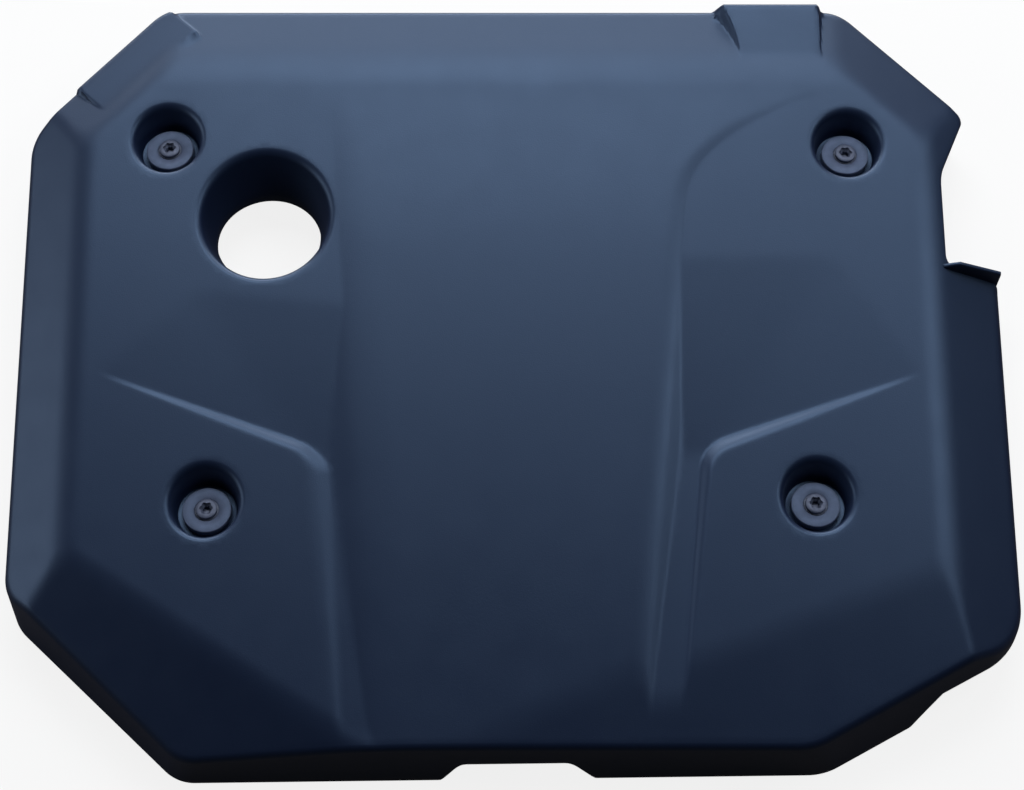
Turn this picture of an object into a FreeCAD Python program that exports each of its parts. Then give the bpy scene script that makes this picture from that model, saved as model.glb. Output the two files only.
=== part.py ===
"""Moulded engine cover with four screw wells, their bushes, sleeves and screws.

Millimetres and degrees. X runs to the right, Y to the back and Z up. The origin is the middle of the cover's
box at rim level, and the rim lies on z = 0. The mould's draw axis leans back, and the skirt, the wells, the
filler collar and the screws all follow it.
"""
import FreeCAD, Part
import math
import os

Vector = FreeCAD.Vector

# Overall form
half_width = 254.0            # side walls at the rim
front_left_reach = 203.0      # left end of the front wall at the rim
front_right_reach = 199.0     # right end of the front wall at the rim
back_reach = 195.0            # back wall at the rim
front_left_narrowing = 3.0    # how far the left wall comes in at its front end
top_height = 44.0             # side plateaus above the rim
wall = 2.5
draw_tilt = 12.2              # lean of the draw axis towards the back
skirt_draft = 1.5
front_corner_draft = 8.0      # the two front corner walls flare more
corner_radius = 22.0
front_right_radius = 34.0     # the front right corners are rounder

# Corner cuts of the rim: length along the side, then along the front or back
back_left_cut = (71.5, 69.0)
back_right_cut = (74.0, 77.0)
front_left_cut = (79.0, 89.5)
front_right_cut = (52.5, 98.5)

# Sloping borders of the top: width from the rim, then slope
left_shoulder = (32.0, 27.0)
right_shoulder = (39.0, 27.0)
back_band = (29.0, 13.7)
back_left_bevel = (26.0, 18.0)
back_right_bevel = (26.0, 18.0)

# Front of the top that rolls down. A place written as an inset is measured in from the side wall, then
# from the front or back wall, of the corner that it is used with.
front_left_roll_inset = (33.0, 109.0)      # left end of the first crease
roll_bend_inset = (114.0, 57.0)            # where the first crease meets the second
front_roll_inset = (194.0, 7.0)            # right end of the second crease
front_right_roll_insets = ((131.0, 63.0), (56.0, 91.0))
front_left_roll_slope = 16.0
front_roll_slope = 10.0
front_right_roll_slope = 6.0

# Raised centre spine, with a head that spreads towards the back right well
spine_rise = 2.5
spine_back_y = 80.0
spine_back_half = 88.0
spine_front_y = -160.0
spine_front_half = 64.0
spine_head_y = 140.0
spine_head_half = 144.0
spine_side_slope = 40.0
spine_back_fade = (80.0, 150.0)      # where the spine starts to sink, and where it meets the plateau
spine_front_fade = (-110.0, -198.0)

# Scoops beside the spine and the front pads: places on the right, mirrored on the left
pad_outer_inset = 48.0        # outer end of the pad's back edge, in from the side wall
pad_outer_y = -4.5
pad_inner_corner = (100.0, -45.5)
pad_front_end = (84.0, -175.0)
pad_step_slope = 42.0
scoop_depth = 6.0
right_scoop_inset = 89.0      # outer end of the scoop's back edge, in from the side wall
right_scoop_back_y = (58.0, 58.0)          # outer and inner ends of the back edge
left_scoop_inset = 96.0
left_scoop_back_y = (40.0, 32.0)
scoop_inner_x = 84.0

# Raised block across the back band
block_inset = 90.0            # its right side, in from the right wall
block_width = 43.0
block_drop = 1.5

# Raised tab on the back left corner
tab_length = 62.0
tab_drop = 2.0
tab_shift = -20.0

# Cut-away on the right, and the thin lip that stands at its front end
cut_front_inset = (30.0, 139.0)            # its front inner corner
cut_back_inset = (30.0, 88.5)
cut_tip_inset = (16.0, 56.0)
cut_bend_radius = 6.0
lip_thickness = 2.0
lip_height = 9.5

# Notch in the front skirt
notch_middle = 4.0
notch_bottom_width = 76.0
notch_top_width = 56.0
notch_height = 22.0
notch_bend_radius = 7.0

# Lifted rim under the front right corner wall
lift_start = 50.0             # from the front end of the wall
lift_ramp = 17.0
lift_height = 19.0
lift_end_height = 18.0
lift_overrun = 4.0            # past the side end of the wall

# Screw wells, the insets of their axes on the plateau
well_insets = {
    "back_left": (75.7, 72.2),
    "back_right": (78.6, 74.8),
    "front_left": (103.5, 132.6),
    "front_right": (102.2, 131.4),
}
well_rim_radius = 17.5
well_floor_radius = 15.0
well_depth = 13.0

# Filler opening
filler_inset = (128.0, 116.3)
filler_rim_radius = 33.5
filler_throat_radius = 27.0
filler_cone_depth = 19.0
filler_lip_length = 5.0

mouth_round = 2.4             # rounded edge of the wells and the filler opening

# Rubber bush, steel sleeve and screw
bush_flange_radius = 12.2
bush_neck_radius = 9.0
bush_flange_height = 4.0
sleeve_radius = 6.0
sleeve_bore_radius = 3.4
sleeve_collar_radius = 8.5
sleeve_collar_height = 1.5
screw_radius = 3.0            # thread's outside
screw_waist_radius = 2.6      # plain shank inside the sleeve
screw_waist_overhang = 1.0    # how far the plain shank comes out below the sleeve
screw_head_radius = 5.4
screw_head_height = 4.0
screw_free_length = 17.0
screw_tip_chamfer = 0.8
recess_radius = 3.3
recess_lobe_radius = 0.75
recess_depth = 2.6

reach = 2000.0                # size of the blocks that trim the form
spill = 40.0                  # how far a cutting body runs past what it cuts

draw_axis = Vector(0, math.sin(math.radians(draw_tilt)), math.cos(math.radians(draw_tilt)))
up = Vector(0, 0, 1)


def inside_corner(corner, inset):
    """Place on the plateau at an inset from the two walls that meet at a corner."""
    reaches = {
        "back_left": back_reach, "back_right": back_reach,
        "front_left": -front_left_reach, "front_right": -front_right_reach,
    }
    side = 1 if corner.endswith("right") else -1
    x = side * (half_width - inset[0])
    y = reaches[corner] - math.copysign(inset[1], reaches[corner])
    return Vector(x, y, top_height)


def rim_corners():
    """The rim's eight corners, counter-clockwise from above."""
    left, right, back = -half_width, half_width, back_reach
    front_left, front_right = -front_left_reach, -front_right_reach
    return {
        "back_left_end": Vector(left + back_left_cut[1], back, 0),
        "back_left_side": Vector(left, back - back_left_cut[0], 0),
        "front_left_side": Vector(left + front_left_narrowing, front_left + front_left_cut[0], 0),
        "front_left_end": Vector(left + front_left_cut[1], front_left, 0),
        "front_right_end": Vector(right - front_right_cut[1], front_right, 0),
        "front_right_side": Vector(right, front_right + front_right_cut[0], 0),
        "back_right_side": Vector(right, back - back_right_cut[0], 0),
        "back_right_end": Vector(right - back_right_cut[1], back, 0),
    }


def outward(start, end):
    """Level direction out of the rim across the wall from start to end."""
    along = end - start
    return Vector(along.y, -along.x, 0).normalize()


def far_side(point, normal, inset):
    """Block filling the far side of a plane that has been moved back by the inset."""
    normal = Vector(normal).normalize()
    block = Part.makeBox(reach, reach, reach, Vector(-reach / 2, -reach / 2, 0))
    block.Placement = FreeCAD.Placement(point - normal * inset, FreeCAD.Rotation(up, normal))
    return block


def skirt_plane(start, end, draft):
    """Plane of the skirt over one rim edge: it follows the draw axis and leans in by the draft."""
    out = outward(start, end)
    rise = draw_axis - out * math.tan(math.radians(draft))
    return start, (end - start).cross(rise)


def border_plane(start, end, border):
    """Plane that falls away to the outside from a crease parallel to a rim edge."""
    width, slope = border
    out = outward(start, end)
    crease = start - out * width + up * top_height
    angle = math.radians(slope)
    return crease, out * math.sin(angle) + up * math.cos(angle)


def roll_plane(start, end, slope):
    """Plane that falls away to the front from a crease across the top."""
    out = outward(start, end)
    angle = math.radians(slope)
    return start, out * math.sin(angle) + up * math.cos(angle)


def front_rolls():
    """Planes of the three front rolls."""
    bend = inside_corner("front_left", roll_bend_inset)
    right_start, right_end = [inside_corner("front_right", inset) for inset in front_right_roll_insets]
    return [
        roll_plane(inside_corner("front_left", front_left_roll_inset), bend, front_left_roll_slope),
        roll_plane(bend, inside_corner("front_right", front_roll_inset), front_roll_slope),
        roll_plane(right_start, right_end, front_right_roll_slope),
    ]


def rim_walls():
    """Each wall's two rim corners and its draft."""
    corner = rim_corners()
    return {
        "back_left": (corner["back_left_end"], corner["back_left_side"], skirt_draft),
        "left": (corner["back_left_side"], corner["front_left_side"], skirt_draft),
        "front_left": (corner["front_left_side"], corner["front_left_end"], front_corner_draft),
        "front": (corner["front_left_end"], corner["front_right_end"], skirt_draft),
        "front_right": (corner["front_right_end"], corner["front_right_side"], front_corner_draft),
        "right": (corner["front_right_side"], corner["back_right_side"], skirt_draft),
        "back_right": (corner["back_right_side"], corner["back_right_end"], skirt_draft),
        "back": (corner["back_right_end"], corner["back_left_end"], skirt_draft),
    }


def top_planes():
    """The plateau level, its sloping borders and its front rolls."""
    borders = {
        "back_left": back_left_bevel, "left": left_shoulder, "right": right_shoulder,
        "back_right": back_right_bevel, "back": back_band,
    }
    walls = rim_walls()
    planes = [(up * top_height, up)]
    for name, border in borders.items():
        start, end, draft = walls[name]
        planes.append(border_plane(start, end, border))
    return planes + front_rolls()


def corner_edge(body, corner):
    """Upright edge of a body that is nearest to a rim corner."""
    upright = [edge for edge in body.Edges if abs(edge.tangentAt(edge.FirstParameter).z) > 0.5]
    return min(upright, key=lambda edge: edge.distToShape(Part.Vertex(corner))[0])


def blank(inset, below):
    """Tall body inside the skirt, from below the rim to above the plateaus, with rounded corners."""
    height = top_height + spill
    body = Part.makeBox(reach / 2, reach / 2, height + below, Vector(-reach / 4, -reach / 4, -below))
    body = body.cut([far_side(*skirt_plane(*wall_line), inset) for wall_line in rim_walls().values()])
    body = body.Solids[0]
    for name, corner in rim_corners().items():
        radius = front_right_radius if name.startswith("front_right") else corner_radius
        body = body.makeFillet(radius - inset, [corner_edge(body, corner)])
    return body


def rising_side(back, front, side):
    """Sloping side of the spine over a line from back to front: a point of it and its outward normal."""
    start = Vector(side * front[0], front[1], top_height)
    end = Vector(side * back[0], back[1], top_height)
    out = outward(start, end) * side
    angle = math.radians(spine_side_slope)
    return end, out * math.sin(angle) + up * math.cos(angle)


def spine_side(side):
    """Long side of the spine."""
    return rising_side((spine_back_half, spine_back_y), (spine_front_half, spine_front_y), side)


def head_side():
    """Spreading right side of the spine's head."""
    return rising_side((spine_head_half, spine_head_y), (spine_back_half, spine_back_y), 1)


def fade_plane(fade):
    """Plane that takes the spine's top down to the plateau over a stretch of its length."""
    high = Vector(0, fade[0], top_height + spine_rise)
    low = Vector(0, fade[1], top_height)
    normal = (low - high).cross(Vector(1, 0, 0))
    return high, normal if normal.z > 0 else -normal


def spine(inset):
    """Raised spine and its head, down to below the plateau."""
    planes = [fade_plane(spine_back_fade), fade_plane(spine_front_fade)]
    planes.append((up * (top_height + spine_rise), up))
    bodies = []
    for right_side, front in ((spine_side(1), spine_front_fade[1]), (head_side(), spine_back_y)):
        length = spine_back_fade[1] - front
        body = Part.makeBox(2 * half_width, length, top_height + spill, Vector(-half_width, front, 0))
        sides = [spine_side(-1), right_side]
        bodies.append(body.cut([far_side(point, normal, inset) for point, normal in planes + sides]))
    return bodies


def on_side(place, side, depth):
    """Point at a depth below the plateau, mirrored for the left hand side."""
    return Vector(side * place[0], place[1], top_height - depth)


def upward_plane(first, second, third):
    """Plane through three points, with its normal upwards."""
    normal = (second - first).cross(third - first)
    return first, normal if normal.z > 0 else -normal


def step_plane(start, end, away):
    """Face of a pad's step: it rises to the line from start to end, seen from the scoop."""
    out = outward(start, end)
    out = out if out.dot(away) > 0 else -out
    angle = math.radians(pad_step_slope)
    return start, out * math.sin(angle) + up * math.cos(angle)


def scoop(side, inset):
    """Hollow behind a front pad, and the groove between the pad and the spine."""
    outer_end = on_side((half_width - pad_outer_inset, pad_outer_y), side, 0)
    corner = on_side(pad_inner_corner, side, 0)
    front_end = on_side(pad_front_end, side, 0)
    deep_corner = on_side(pad_inner_corner, side, scoop_depth)
    back_inset = right_scoop_inset if side > 0 else left_scoop_inset
    back_y = right_scoop_back_y if side > 0 else left_scoop_back_y
    outer_back = on_side((half_width - back_inset, back_y[0]), side, 0)
    inner_back = on_side((scoop_inner_x, back_y[1]), side, 0)
    spine_face = spine_side(side)
    hollow = [
        upward_plane(outer_end, outer_back, deep_corner), upward_plane(outer_back, inner_back, deep_corner),
        step_plane(outer_end, corner, Vector(0, 1, 0)), spine_face,
    ]
    groove = [
        upward_plane(deep_corner, deep_corner - Vector(side, 0, 0), front_end),
        step_plane(corner, front_end, Vector(-side, 0, 0)), (corner, Vector(0, -1, 0)), spine_face,
    ]
    bodies = []
    for planes in (hollow, groove):
        body = Part.makeBox(half_width, 2 * half_width, 2 * spill,
                            Vector(0 if side > 0 else -half_width, -half_width, top_height - spill))
        bodies.append(body.cut([far_side(point, -normal, -inset) for point, normal in planes]))
    return bodies


def back_block(inset):
    """Raised block that carries the plateau's level out to the back wall."""
    width = block_width - 2 * inset
    length = back_band[0] + spill
    height = top_height - block_drop - inset
    left = half_width - block_inset - block_width + inset
    return Part.makeBox(width, length, height, Vector(left, back_reach - back_band[0], 0))


def corner_tab(inset):
    """Raised flat tab along the back left corner."""
    start, end, draft = rim_walls()["back_left"]
    along = (end - start).normalize()
    out = outward(start, end)
    middle = (start + end) * 0.5 + along * tab_shift
    length = tab_length - 2 * inset
    width = back_left_bevel[0]
    body = Part.makeBox(length, width + spill, top_height - tab_drop - inset, Vector(-length / 2, 0, 0))
    body.Placement = FreeCAD.Placement(middle - out * width, FreeCAD.Rotation(Vector(0, 1, 0), out))
    return body


def outer_form(inset, below):
    """The cover's outer form, drawn in by the inset."""
    inside = blank(inset, below)
    form = inside.cut([far_side(point, normal, inset) for point, normal in top_planes()])
    raised = spine(inset) + [back_block(inset), corner_tab(inset)]
    form = form.fuse([inside.common(body) for body in raised])
    return form.cut(scoop(-1, inset) + scoop(1, inset))


def draw_placement(place):
    """Placement at a point of the plateau, with its own Z along the draw axis."""
    return FreeCAD.Placement(place, FreeCAD.Rotation(up, draw_axis))


def turned(profile):
    """Solid of revolution about Z from (radius, height) points."""
    points = [Vector(radius, 0, height) for radius, height in profile]
    face = Part.Face(Part.makePolygon(points + points[:1]))
    return face.revolve(Vector(0, 0, 0), up, 360)


def placed(shape, placement):
    """Copy of a shape at a placement."""
    copy = shape.copy()
    copy.Placement = placement
    return copy


def well_cup():
    """Well's outside, from above the plateau down to the underside of its floor."""
    flare = (well_rim_radius - well_floor_radius) / well_depth
    bottom = well_depth + wall
    return turned([
        (0, spill), (well_rim_radius + wall + flare * spill, spill),
        (well_floor_radius + wall, -well_depth), (well_floor_radius + wall, -bottom), (0, -bottom),
    ])


def well_hollow():
    """Well's inside, with the hole in its floor for the bush."""
    flare = (well_rim_radius - well_floor_radius) / well_depth
    bottom = well_depth + wall
    return turned([
        (0, spill), (well_rim_radius + flare * spill, spill), (well_floor_radius, -well_depth),
        (bush_neck_radius, -well_depth), (bush_neck_radius, -bottom - wall), (0, -bottom - wall),
    ])


def filler_collar():
    """Outside of the filler opening's collar."""
    flare = (filler_rim_radius - filler_throat_radius) / filler_cone_depth
    bottom = filler_cone_depth + filler_lip_length
    return turned([
        (0, spill), (filler_rim_radius + wall + flare * spill, spill),
        (filler_throat_radius + wall, -filler_cone_depth), (filler_throat_radius + wall, -bottom),
        (0, -bottom),
    ])


def filler_hollow():
    """Inside of the filler opening: a cone down to a short straight throat."""
    flare = (filler_rim_radius - filler_throat_radius) / filler_cone_depth
    bottom = filler_cone_depth + filler_lip_length
    return turned([
        (0, spill), (filler_rim_radius + flare * spill, spill), (filler_throat_radius, -filler_cone_depth),
        (filler_throat_radius, -bottom - wall), (0, -bottom - wall),
    ])


def cut_away():
    """Body that cuts the shoulder and skirt away on the right, along the draw axis."""
    front, back, tip = [inside_corner("back_right", inset)
                        for inset in (cut_front_inset, cut_back_inset, cut_tip_inset)]
    far = half_width + spill
    bend = cut_bend_radius
    middle = front + Vector(bend, bend, 0)
    diagonal = bend * math.sqrt(0.5)
    front_tangent = front + Vector(bend, 0, 0)
    side_tangent = front + Vector(0, bend, 0)
    rest = [
        side_tangent, back, tip, tip + Vector(far - tip.x, far - tip.x, 0),
        Vector(far, front.y, front.z), front_tangent,
    ]
    arc = Part.Arc(front_tangent, middle - Vector(diagonal, diagonal, 0), side_tangent).toShape()
    outline = Part.Wire([arc] + Part.makePolygon(rest).Edges)
    along = draw_axis * (top_height + spill) * 2
    return Part.Face(outline).extrude(along).translated(along * -0.5)


def notch():
    """Body that cuts the notch in the front skirt."""
    bottom = notch_bottom_width / 2
    top = notch_top_width / 2
    grow = (bottom - top) / notch_height
    low = wall
    points = [
        Vector(notch_middle - bottom - grow * low, 0, -low), Vector(notch_middle - top, 0, notch_height),
        Vector(notch_middle + top, 0, notch_height), Vector(notch_middle + bottom + grow * low, 0, -low),
    ]
    face = Part.Face(Part.makePolygon(points + points[:1]))
    body = face.extrude(Vector(0, 2 * spill, 0)).translated(Vector(0, -front_left_reach - spill, 0))
    corners = [edge for edge in body.Edges
               if abs(edge.tangentAt(edge.FirstParameter).y) > 0.5
               and abs(edge.valueAt(edge.FirstParameter).z - notch_height) < wall]
    return body.makeFillet(notch_bend_radius, corners)


def lifted_rim():
    """Body under the front right corner wall that lifts its lower edge."""
    start, end, draft = rim_walls()["front_right"]
    along = end - start
    out = outward(start, end)
    finish = along.Length + lift_overrun
    along.normalize()
    outline = [
        (lift_start, -wall), (lift_start + lift_ramp, lift_height), (finish, lift_end_height),
        (finish + lift_end_height / 2, -wall),
    ]
    points = [start + along * distance + up * height for distance, height in outline]
    face = Part.Face(Part.makePolygon(points + points[:1]))
    return face.extrude(out * 2 * spill).translated(-out * spill)


def end_lip(outside):
    """End wall at the front of the cut-away: it closes the shoulder and stands above it as a lip."""
    corner = inside_corner("back_right", cut_front_inset) - Vector(0, lip_thickness, 0)
    along = draw_axis * (top_height + spill)
    sides = [Vector(half_width, 0, 0), Vector(half_width, lip_thickness, 0), Vector(0, lip_thickness, 0)]
    points = [corner] + [corner + side for side in sides]
    slab = Part.Face(Part.makePolygon(points + points[:1])).extrude(-along)
    return outside.translated(draw_axis * lip_height).common(slab).common(blank(0, 0))


def well_places():
    """Each well's axis on the plateau."""
    return {name: inside_corner(name, inset) for name, inset in well_insets.items()}


def filler_place():
    """The filler opening's axis on the plateau."""
    return inside_corner("back_left", filler_inset)


def rim_edges(shell):
    """Edges where the wells and the filler opening break through the plateau."""
    mouths = [(place, well_rim_radius) for place in well_places().values()]
    mouths.append((filler_place(), filler_rim_radius))
    edges = []
    for middle, radius in mouths:
        for edge in shell.Edges:
            ends = [edge.valueAt(edge.FirstParameter), edge.valueAt(0.5 * sum(edge.ParameterRange))]
            if all(abs(point.z - top_height) < 0.01 and abs((point - middle).Length - radius) < wall / 2
                   for point in ends):
                edges.append(edge)
    return edges


def cover_shell():
    """The moulded cover."""
    outside = outer_form(0, 0)
    shell = outside.cut(outer_form(wall, spill))
    wells = [draw_placement(place) for place in well_places().values()]
    filler = draw_placement(filler_place())
    added = [placed(well_cup(), place).common(outside) for place in wells]
    added += [placed(filler_collar(), filler).common(outside), end_lip(outside)]
    shell = shell.fuse(added)
    removed = [placed(well_hollow(), place) for place in wells]
    removed += [placed(filler_hollow(), filler), cut_away(), notch(), lifted_rim()]
    shell = shell.cut(removed).removeSplitter().Solids[0]
    return shell.makeFillet(mouth_round, rim_edges(shell))


def rubber_bush():
    """Bush that grips the well's floor between its two flanges."""
    top, bottom = bush_ends()
    low = bottom + bush_flange_height
    return turned([
        (sleeve_radius, top), (bush_flange_radius, top), (bush_flange_radius, -well_depth),
        (bush_neck_radius, -well_depth), (bush_neck_radius, low), (bush_flange_radius, low),
        (bush_flange_radius, bottom), (sleeve_radius, bottom),
    ])


def bush_ends():
    """Heights of the bush's top and bottom on the draw axis."""
    return bush_flange_height - well_depth, -well_depth - wall - bush_flange_height


def spacer_sleeve():
    """Steel tube through the bush, with a collar below it."""
    top, bottom = bush_ends()
    foot = bottom - sleeve_collar_height
    return turned([
        (sleeve_bore_radius, top), (sleeve_radius, top), (sleeve_radius, bottom),
        (sleeve_collar_radius, bottom), (sleeve_collar_radius, foot), (sleeve_bore_radius, foot),
    ])


def six_lobe_recess(top):
    """Six-lobe socket in the screw's head."""
    floor = top - recess_depth
    core_radius = recess_radius - recess_lobe_radius
    core = Part.makeCylinder(core_radius, recess_depth, Vector(0, 0, floor))
    lobes = []
    for index in range(6):
        angle = math.radians(60 * index)
        centre = Vector(core_radius * math.cos(angle), core_radius * math.sin(angle), floor)
        lobes.append(Part.makeCylinder(recess_lobe_radius, recess_depth, centre))
    return core.fuse(lobes)


def retaining_screw():
    """Screw that seats on the sleeve."""
    seat, bottom = bush_ends()
    foot = bottom - sleeve_collar_height
    tip = foot - screw_free_length
    thread = foot - screw_waist_overhang
    top = seat + screw_head_height
    body = turned([
        (0, top), (screw_head_radius, top), (screw_head_radius, seat), (screw_waist_radius, seat),
        (screw_waist_radius, thread), (screw_radius, thread), (screw_radius, tip + screw_tip_chamfer),
        (screw_radius - screw_tip_chamfer, tip), (0, tip),
    ])
    return body.cut(six_lobe_recess(top))


def main():
    os.makedirs("parts", exist_ok=True)
    cover_shell().exportStep("parts/cover_shell.step")
    screws = []
    for name, place in well_places().items():
        placement = draw_placement(place)
        placed(rubber_bush(), placement).exportStep(f"parts/rubber_grommet_{name}.step")
        placed(spacer_sleeve(), placement).exportStep(f"parts/spacer_sleeve_{name}.step")
        screws.append(placed(retaining_screw(), placement))
    Part.makeCompound(screws).exportStep("parts/retaining_screws.step")


main()
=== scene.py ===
"""Looks of a moulded engine cover: its skin, rubber bushes, steel sleeves and screws, and a plain stage.

Shapes are worked out in millimetres in a plan that follows the mould's draw axis, and meshes are made in
metres. A plan point (u, v) at height z is the place (u, v + lean * z, z), so a wall with no draft is upright
in plan. Where a form has two sides, 1 is its right side and -1 its left.
"""
import math
from collections import namedtuple

import bmesh
import bpy
import numpy as np
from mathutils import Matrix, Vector, kdtree
from mathutils.geometry import delaunay_2d_cdt


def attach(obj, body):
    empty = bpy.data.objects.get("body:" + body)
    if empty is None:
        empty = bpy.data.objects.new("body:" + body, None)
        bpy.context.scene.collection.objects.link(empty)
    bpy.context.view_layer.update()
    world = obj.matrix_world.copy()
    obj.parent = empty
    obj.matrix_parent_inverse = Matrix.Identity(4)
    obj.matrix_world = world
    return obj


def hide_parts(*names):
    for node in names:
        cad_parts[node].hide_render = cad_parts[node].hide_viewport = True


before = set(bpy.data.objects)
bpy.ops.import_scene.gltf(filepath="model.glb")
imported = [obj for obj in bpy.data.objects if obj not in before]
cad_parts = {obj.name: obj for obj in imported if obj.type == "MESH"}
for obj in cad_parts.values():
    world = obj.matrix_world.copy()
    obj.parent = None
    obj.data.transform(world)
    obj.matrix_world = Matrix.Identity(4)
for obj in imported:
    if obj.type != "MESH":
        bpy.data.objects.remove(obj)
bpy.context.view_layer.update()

bl_info = {
    "name": "Moulded engine cover",
    "version": (1, 0, 0),
    "blender": (4, 5, 0),
    "location": "View3D > Sidebar > Engine Cover",
    "description": "Builds the visible skin and fittings of a moulded engine cover on its packed frame",
    "category": "Object",
}

MM = 0.001
WELLS = ("back_left", "back_right", "front_left", "front_right")

# Draw axis of the mould, which leans to the back
TILT = math.radians(12.2)
LEAN = math.tan(TILT)
SINE = math.sin(TILT)
COSINE = math.cos(TILT)

# Rim of the skirt, counter-clockwise from above
PLATEAU = 44.0
BACK_LEFT_END = (-185.0, 195.0)
BACK_LEFT_SIDE = (-254.0, 123.5)
FRONT_LEFT_SIDE = (-251.0, -124.0)
FRONT_LEFT_END = (-164.5, -203.0)
FRONT_RIGHT_END = (155.5, -199.0)
FRONT_RIGHT_SIDE = (254.0, -146.5)
BACK_RIGHT_SIDE = (254.0, 121.0)
BACK_RIGHT_END = (177.0, 195.0)
SKIRT_DRAFT = 1.5
FRONT_CORNER_DRAFT = 8.0
CORNER_RADIUS = 22.0
FRONT_RIGHT_RADIUS = 34.0
RIM_BEAD = 0.7
BEAD_PROFILE = ((0.2, 0.2), (0.7, 0.0))
SKIRT_STEPS = 8
RIM_SPACING = 1.5
ROUNDING_STEPS = 7
ROUNDING_BLEND = 4

# Cut-away on the right, on the plateau
CUT_FRONT = (224.0, 56.0)
CUT_BACK = (224.0, 106.5)
CUT_TIP = (238.0, 139.0)
CUT_LIP_RADIUS = 4.0
CUT_CORNER_RADIUS = 6.0
CUT_BEND_RADIUS = 28.0
CUT_BEAD = 0.2
OPEN_EDGES = ("cut", "cut_back")

# Front creases of the top, on the plateau
ROLL_LEFT = (-221.0, -94.0)
ROLL_BEND = (-140.0, -146.0)
ROLL_FRONT = (-60.0, -196.0)
ROLL_RIGHT = ((123.0, -136.0), (198.0, -108.0))

# Sloping borders of the top: slope in degrees, width in from the rim, and rounding of the crease
SHOULDER_SLOPE = 27.0
LEFT_WIDTH = 32.0
RIGHT_WIDTH = 39.0
SHOULDER_ROUNDING = 4.0
BACK_SLOPE = 13.7
BACK_WIDTH = 29.0
BACK_ROUNDING = 3.0
BEVEL_SLOPE = 18.0
BEVEL_WIDTH = 26.0
BEVEL_ROUNDING = 1.4
ROLL_LEFT_SLOPE = 16.0
ROLL_LEFT_ROUNDING = 1.6
ROLL_FRONT_SLOPE = 10.0
ROLL_FRONT_ROUNDING = 1.2
ROLL_RIGHT_SLOPE = 6.0
ROLL_RIGHT_ROUNDING = 0.8

# Raised spine
SPINE_BACK = (88.0, 80.0)
SPINE_FRONT = (64.0, -160.0)
SPINE_FLARE_START = 85.0
SPINE_FLARE = 0.00214
SPINE_FLARE_POWER = 2.5
SPINE_BACK_FADE = (80.0, 150.0)
SPINE_FRONT_FADE = (-110.0, -198.0)
SPINE_WIDENING = (SPINE_BACK[0] - SPINE_FRONT[0]) / (SPINE_BACK[1] - SPINE_FRONT[1])
SPINE_SLOPE = {1: math.tan(math.radians(18.0)), -1: math.tan(math.radians(8.0))}
SPINE_FOOT_SLOPE = {1: math.tan(math.radians(23.0)), -1: math.tan(math.radians(11.0))}
SPINE_ROLL = 1.8
SPINE_SPREAD = 1.5
SPINE_CREASE = 0.2
SPINE_END_ROUNDING = 0.3
SPINE_TOP_ROUNDING = 0.4
SPINE_SIDE_ROUNDING = 0.3

# Front pads and the scoops behind them, on the right and mirrored on the left
PAD_OUTER = (206.0, -4.5)
PAD_CORNER = (100.0, -45.5)
PAD_FRONT = (84.0, -175.0)
PAD_CORNER_RADIUS = 15.0
GROOVE_END = 0.35
GROOVE_FADE = (0.06, -198.0)
GROOVE_ACROSS = 40.0
FLOOR_ROUNDING = 0.2
FADE_ROUNDING = 0.4
STEP_FOOT_ROUNDING = 0.4
STEP_EDGE_ROUNDING = (0.12, 1.02)
STEP_EDGE_DEPTH = 2.0
SCOOP_SHARE = {1: 1.0, -1: 0.75}
INNER_STEP = {1: math.radians(36.0), -1: math.radians(14.0)}
SCOOP_BACK = {1: ((165.0, 58.0), (84.0, 58.0)), -1: ((158.0, 40.0), (84.0, 32.0))}

# Raised block at the back and raised tab on the back left corner
BLOCK_LEFT = (116.0, 122.0)
BLOCK_RIGHT = 164.0
BLOCK_FRONT_Y = 166.0
BLOCK_DROP = 1.5
TAB_MIDDLE = (-202.5, 176.8)
TAB_HALF_LENGTH = 32.5
TAB_DEPTH = 20.0
TAB_DROP = 2.6
TAB_FALL = math.tan(math.radians(9.0))
CLIFF_SLOPE = 2.6
CLIFF_ROUNDING = 0.8
CLIFF_FOOT_ROUNDING = 0.5
BLOCK_LEFT_SLOPE = 1.4
BLOCK_SIDE_ROUNDING = 0.5
BLOCK_FLARE_END = 1.2

# Notch in the front skirt and lifted rim at the front right corner
NOTCH_MIDDLE = 4.0
NOTCH_HALF_BOTTOM = 38.0
NOTCH_HALF_TOP = 28.0
NOTCH_HEIGHT = 22.0
NOTCH_ROUNDING = 7.0
NOTCH_FOOT_ROUNDING = 2.0
LIFT_PROFILE = ((50.0, 0.0), (67.0, 19.0), (115.6, 18.0), (124.6, 0.0))

# Lip at the front end of the cut-away
LIP_THICKNESS = 2.0
LIP_HEIGHT = 9.5
LIP_GROWTH = ((-2.0, 0.05), (1.0, 0.35), (6.0, 0.75), (30.0, 1.0))
LIP_END_GAP = 1.2
LIP_ROOT = 1.5
LIP_EDGE = 0.7
LIP_EDGE_MIDDLE = 0.2
LIP_SECTIONS = 24

# Screw wells and filler opening, with their axes on the plateau
WELL_PLACES = {
    "back_left": (-178.3, 122.8),
    "back_right": (175.4, 120.2),
    "front_left": (-150.5, -70.4),
    "front_right": (151.8, -67.6),
}
FILLER_PLACE = (-126.0, 78.7)
WELL_RIM = 17.5
WELL_FLOOR = 15.0
WELL_DEPTH = 13.0
FILLER_RIM = 33.5
FILLER_THROAT = 27.0
FILLER_CONE = 19.0
FILLER_LIP = 5.0
FLOOR_EDGE = 1.0
NECK_EDGE = 0.3
MOULD_EDGE = 0.6
THROAT_EASE = 0.5
THROAT_EASE_ABOVE = 1.4
THROAT_EASE_BELOW = 0.4
MOUTH_SIDES = 96

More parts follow.
